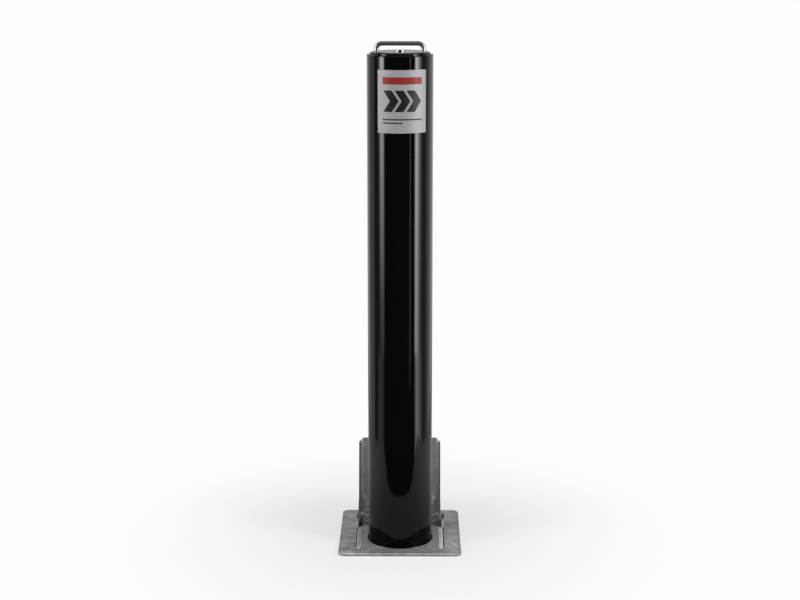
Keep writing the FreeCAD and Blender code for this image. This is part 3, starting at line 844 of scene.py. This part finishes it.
def zinc_run(name, edge, inward, start, finish, width, top, seed):
    """A run of zinc along a slot, from its edge inward, with a wavering width and tapered ends, in
    near-white zinc as a painted highlight.
    """
    chance = random.Random(seed)
    points = []
    for step in range(RUN_STEPS + 1):
        y = start + (finish - start) * step / RUN_STEPS
        taper = min(1.0, 0.3 + 0.35 * min(step, RUN_STEPS - step))
        reach = width * (1 + chance.uniform(-RUN_CHANCE, RUN_CHANCE)) * taper
        for along, upward in RUN_SECTION:
            points.append(Vector((edge + inward * reach * along, y, top - (1 - upward) * RUN_DEPTH)))
    count = len(RUN_SECTION)
    faces = []
    for step in range(RUN_STEPS):
        first = step * count
        for corner in range(count):
            ahead = (corner + 1) % count
            faces.append((first + corner, first + ahead, first + count + ahead, first + count + corner))
    faces.append(tuple(range(count))[::-1])
    faces.append(tuple(RUN_STEPS * count + corner for corner in range(count)))
    mesh_object(name, points, faces, highlight_zinc, "socket")


def slot_runs():
    """Runs of zinc on the slots: at the outer wall behind each rest bar, and on both sides of the bars.
    Their near-white zinc is painted light in the slots' shade.
    """
    rear_end = 96.0 * MM
    bar_to_wall = 2.95 * MM
    sunk = 0.05 * MM
    for side, name, width in ((-1, "left", 1.8 * MM), (1, "right", 3.4 * MM)):
        low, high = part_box("rest_bar_" + name)
        inner, outer = sorted((low.x, high.x), key=abs)
        front = low.y + 0.5 * MM
        rear = high.y - 0.5 * MM
        top = high.z - 0.15 * MM
        zinc_run("slot_run_" + name, outer + side * bar_to_wall, -side, high.y + 1 * MM, rear_end,
                 width=width, top=flange_high.z + 0.9 * MM, seed=7 + side)
        zinc_run("bar_run_outer_" + name, outer - side * sunk, side, front, rear,
                 width=1.2 * MM, top=top, seed=17 + side)
        zinc_run("bar_run_inner_" + name, inner + side * sunk, -side, front, rear,
                 width=0.8 * MM, top=top, seed=27 + side)


# Rims round the post

def cap_seam():
    """The painted shoulder between tube and cap: over the tube's rim, into a seam and up round the cap."""
    skin = 0.03 * MM
    rim_round = 2.0 * MM
    shoulder_round = 2.6 * MM
    outer = post_radius + skin
    level = post_rim + skin
    cap_edge = cap_high.x + skin
    section = [(outer - 3 * MM, post_rim - 5 * MM), (outer - 0.3 * MM, post_rim - 2.7 * MM),
               (outer, post_rim - 2.4 * MM)]
    section += arc((outer - rim_round, level - rim_round), rim_round, 0, 90, 14)
    section += [(cap_edge + 1.2 * MM, level), (cap_edge + 0.5 * MM, level + 0.08 * MM),
                (cap_edge + 0.15 * MM, level + 0.3 * MM)]
    section += arc((cap_edge - shoulder_round, level + 1.2 * MM), shoulder_round, 0, 68, 14)
    start = section[-1]
    finish = (cap_edge - 8.2 * MM, cap_high.z + skin)
    steps = 8
    for step in range(1, steps + 1):
        share = step / steps
        rise = 1 - (1 - share) ** 2
        section.append((start[0] + (finish[0] - start[0]) * share, start[1] + (finish[1] - start[1]) * rise))
    section += [(finish[0] - 0.3 * MM, cap_high.z - 0.3 * MM), (finish[0], post_rim - 4 * MM)]
    turned("cap_seam", section, paint, "post", 360)


def ring_lip():
    """The guide ring's rounded lip round the post."""
    lip_round = 1.2 * MM
    centre = post_radius + 0.35 * MM + lip_round
    section = arc((centre, flange_high.z), lip_round, 0, 360, 24)[:-1]
    turned("ring_lip", section, lip_plastic, "socket", 256)


# Stage

def panel(name, turn, distance, width, top, strength, across, upward):
    """An upright glowing sheet on the floor that faces the post.

    It stands at a turn from straight in front, in degrees. across and upward give its brightness as stops.
    """
    material = bpy.data.materials.new(name)
    graph = cleared_graph(material)
    flat = graph.parts(graph.coordinate("UV"))
    shade = graph.times(graph.ramp(flat[0], across), graph.ramp(flat[1], upward))
    glow = graph.node("ShaderNodeEmission")
    graph.link(graph.times(shade, strength), glow.inputs["Strength"])
    graph.link(glow.outputs[0], graph.node("ShaderNodeOutputMaterial").inputs["Surface"])
    angle = math.radians(turn)
    foot = Vector((math.sin(angle), -math.cos(angle), 0.0)) * distance
    half = Vector((math.cos(angle), math.sin(angle), 0.0)) * (width / 2)
    head = foot + UP * top
    mesh = bpy.data.meshes.new(name)
    mesh.from_pydata([foot - half, foot + half, head + half, head - half], [], [(0, 1, 2, 3)])
    layer = mesh.uv_layers.new(name="UVMap")
    for index, corner in enumerate(((0, 0), (1, 0), (1, 1), (0, 1))):
        layer.data[index].uv = corner
    mesh.materials.append(material)
    sheet = link_object(name, mesh)
    sheet.visible_camera = False
    sheet.visible_shadow = False


def far_from_post(graph, x, y):
    """How far a level place or direction reaches from the post's axis."""
    return graph.math("SQRT", graph.plus(graph.times(x, x), graph.times(y, y)))


def share_behind(graph, y, far):
    """How far behind the post a level direction points: 0 straight in front, 1 straight behind."""
    return graph.math("MULTIPLY_ADD", graph.math("DIVIDE", y, graph.larger(far, 0.001)), 0.5, 0.5)


def studio_around(graph, x, behind, left_stops, right_stops):
    """What a reflection finds on each side of the post, by how far behind it looks."""
    left = graph.ramp(behind, left_stops)
    right = graph.ramp(behind, right_stops)
    return graph.mix(graph.spread(x, -0.001, 0.001), left, right)


def floor_seen(graph, far):
    """The floor for the camera: paper that takes the shadows near the post and fades to plain white."""
    paper = graph.node("ShaderNodeAddShader")
    graph.link(graph.matt(grey(PAPER_SHADED)), paper.inputs[0])
    graph.link(graph.glow(grey(PAPER_LIT)), paper.inputs[1])
    away = graph.spread(far, PAPER_NEAR, PAPER_FAR)
    return graph.blend(away, paper.outputs[0], graph.glow(grey(BACKDROP_WHITE)))


def floor_mirrored(graph, x, y, far):
    """The floor for reflections: a mat round the post, darker near the post and ahead of it as painted
    shade, and the studio's floor outside it.
    """
    side = graph.size(x)
    aside = graph.spread(side, MAT_HALF_WIDTH, MAT_HALF_WIDTH + 0.05)
    wave = graph.times(graph.spread(side, 0.0, 0.24), graph.fade(side, 0.26, 0.4))
    front = graph.math("MULTIPLY_ADD", wave, MAT_WAVE, MAT_FRONT)
    ahead = graph.spread(graph.minus(y, front), 0.0, -0.012)
    behind = share_behind(graph, y, far)
    beyond = studio_around(graph, x, behind, FLOOR_LEFT, FLOOR_RIGHT)
    # Painted shade: the mat is darker near the post and ahead of it.
    mat_ahead = graph.spread(far, 0.14, 0.5, 0.33, 0.38)
    mat_aside = graph.spread(far, 0.14, 0.5, 0.36, 0.62)
    mat = graph.mix(graph.spread(behind, 0.03, 0.45), mat_ahead, mat_aside)
    return graph.blend(graph.larger(aside, ahead), graph.matt(mat), graph.glow(beyond))


def floor():
    """The pale floor, tucked a little way under the flange and open below the rest of it."""
    left = flange_low.x + FLOOR_TUCK
    right = flange_high.x - FLOOR_TUCK
    front = flange_low.y + FLOOR_TUCK
    rear = flange_high.y - FLOOR_TUCK
    hole = [(left, front), (right, front), (right, rear), (left, rear)]
    reach = FLOOR_REACH
    outer = [(-reach, -reach), (reach, -reach), (reach, reach), (-reach, reach)]
    points = [(x, y, 0.0) for x, y in outer + hole]
    faces = [(index, (index + 1) % 4, 4 + (index + 1) % 4, 4 + index) for index in range(4)]
    mesh = bpy.data.meshes.new("floor")
    mesh.from_pydata(points, [], faces)
    material = bpy.data.materials.new("floor_paper")
    graph = cleared_graph(material)
    x, y, _ = graph.parts(graph.coordinate("Object"))
    far = far_from_post(graph, x, y)
    path = graph.node("ShaderNodeLightPath")
    mirrored = floor_mirrored(graph, x, y, far)
    unseen = graph.blend(path.outputs["Is Glossy Ray"], graph.matt(grey(FLOOR_MATT)), mirrored)
    result = graph.blend(path.outputs["Is Camera Ray"], unseen, floor_seen(graph, far))
    graph.link(result, graph.node("ShaderNodeOutputMaterial").inputs["Surface"])
    mesh.materials.append(material)
    plane = link_object("floor", mesh)


def world():
    """White for the camera, a plain fill for matt surfaces, and for reflections a studio dark in front."""
    made = bpy.data.worlds.new("studio")
    bpy.context.scene.world = made
    graph = cleared_graph(made)
    x, y, z = graph.parts(graph.coordinate("Generated"))
    behind = share_behind(graph, y, far_from_post(graph, x, y))
    around = studio_around(graph, x, behind, WALL_LEFT, WALL_RIGHT)
    ceiling = graph.mix(graph.spread(y, -0.5, 0.5), grey(CEILING_FRONT), grey(CEILING_BACK))
    reflected = graph.mix(graph.spread(z, CEILING_FROM, CEILING_FULL), around, ceiling)
    path = graph.node("ShaderNodeLightPath")
    colour = graph.mix(path.outputs["Is Glossy Ray"], grey(FILL_LIGHT), reflected)
    colour = graph.mix(path.outputs["Is Camera Ray"], colour, grey(BACKDROP_WHITE))
    background = graph.node("ShaderNodeBackground")
    graph.link(colour, background.inputs["Color"])
    graph.link(background.outputs[0], graph.node("ShaderNodeOutputWorld").inputs["Surface"])


def lights():
    """Two soft sheets at the sides and a narrow one at the front right."""
    panel("panel_left", turn=-67.3, distance=1.4, width=0.62, top=1.7, strength=10.5,
          across=[(0.0, 0.0), (0.12, 0.02), (0.26, 0.4), (0.6, 0.8), (0.7, 0.86), (0.82, 0.6), (0.92, 0.4),
                  (1.0, 0.25)],
          upward=[(0.0, 0.08), (0.08, 0.13), (0.31, 0.56), (0.46, 1.0), (1.0, 1.0)])
    panel("panel_right", turn=66.3, distance=1.4, width=0.72, top=1.7, strength=10.5,
          across=[(0.0, 0.1), (0.1, 0.8), (0.28, 1.0), (0.45, 0.55), (0.7, 0.22), (0.85, 0.15), (0.93, 0.05),
                  (1.0, 0.0)],
          upward=[(0.0, 0.5), (0.08, 0.56), (0.31, 0.8), (0.46, 1.0), (1.0, 1.0)])
    panel("panel_line", turn=35.2, distance=1.1, width=0.034, top=1.6, strength=2.6,
          across=[(0.0, 0.4), (0.5, 1.0), (1.0, 0.4)],
          upward=[(0.0, 0.3), (0.06, 0.9), (0.4, 1.0), (1.0, 1.0)])


def camera():
    """The camera at the photograph's place."""
    made = bpy.data.cameras.new("camera")
    made.sensor_width = SENSOR
    made.lens = FOCAL_PIXELS * SENSOR / FRAME_WIDTH
    made.clip_start = 0.05
    made.clip_end = 200.0
    holder = link_object("camera", made)
    holder.location = CAMERA_PLACE
    holder.rotation_euler = (math.radians(90.0 - CAMERA_PITCH), 0.0, math.radians(CAMERA_YAW))
    bpy.context.scene.camera = holder


dress_nodes()
label_print()
sleeve_welds()
anchor_welds()
leaf_welds()
slot_welds()
slot_runs()
cap_seam()
ring_lip()
floor()
world()
lights()
camera()
bpy.context.scene.view_settings.view_transform = "Standard"
